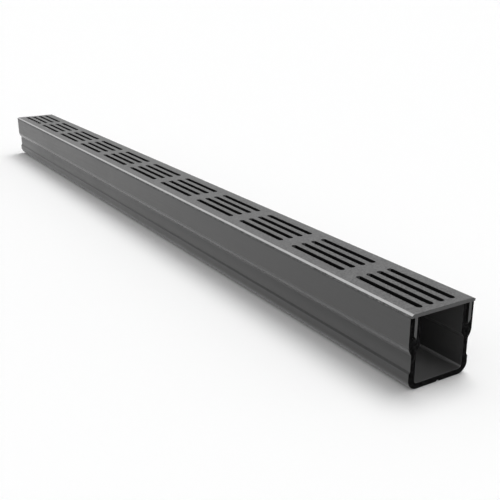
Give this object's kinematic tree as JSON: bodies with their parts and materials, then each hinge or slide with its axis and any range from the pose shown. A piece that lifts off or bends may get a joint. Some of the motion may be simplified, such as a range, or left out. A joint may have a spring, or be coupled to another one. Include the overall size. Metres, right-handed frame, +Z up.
{
  "type": "channel drain",
  "caption": "Straight channel drain: a U-shaped extruded plastic channel, closed on top by a slotted aluminium grating whose legs hang in its side grooves.",
  "frame": {"origin": "middle of the underside: the centre of the bounding box's bottom face", "axes": "+X along the drain, +Y across it, +Z up through the grating"},
  "size_m": [1, 0.0636, 0.0624],
  "materials": {
    "channel_plastic": "black extruded plastic, satin on its drawn faces and dull on its sawn ends",
    "grating_metal": "anthracite coated extruded aluminium, satin"
  },
  "bodies": {
    "root": {"channel_body": "channel_plastic", "slotted_grating": "grating_metal"}
  },
  "joints": []
}
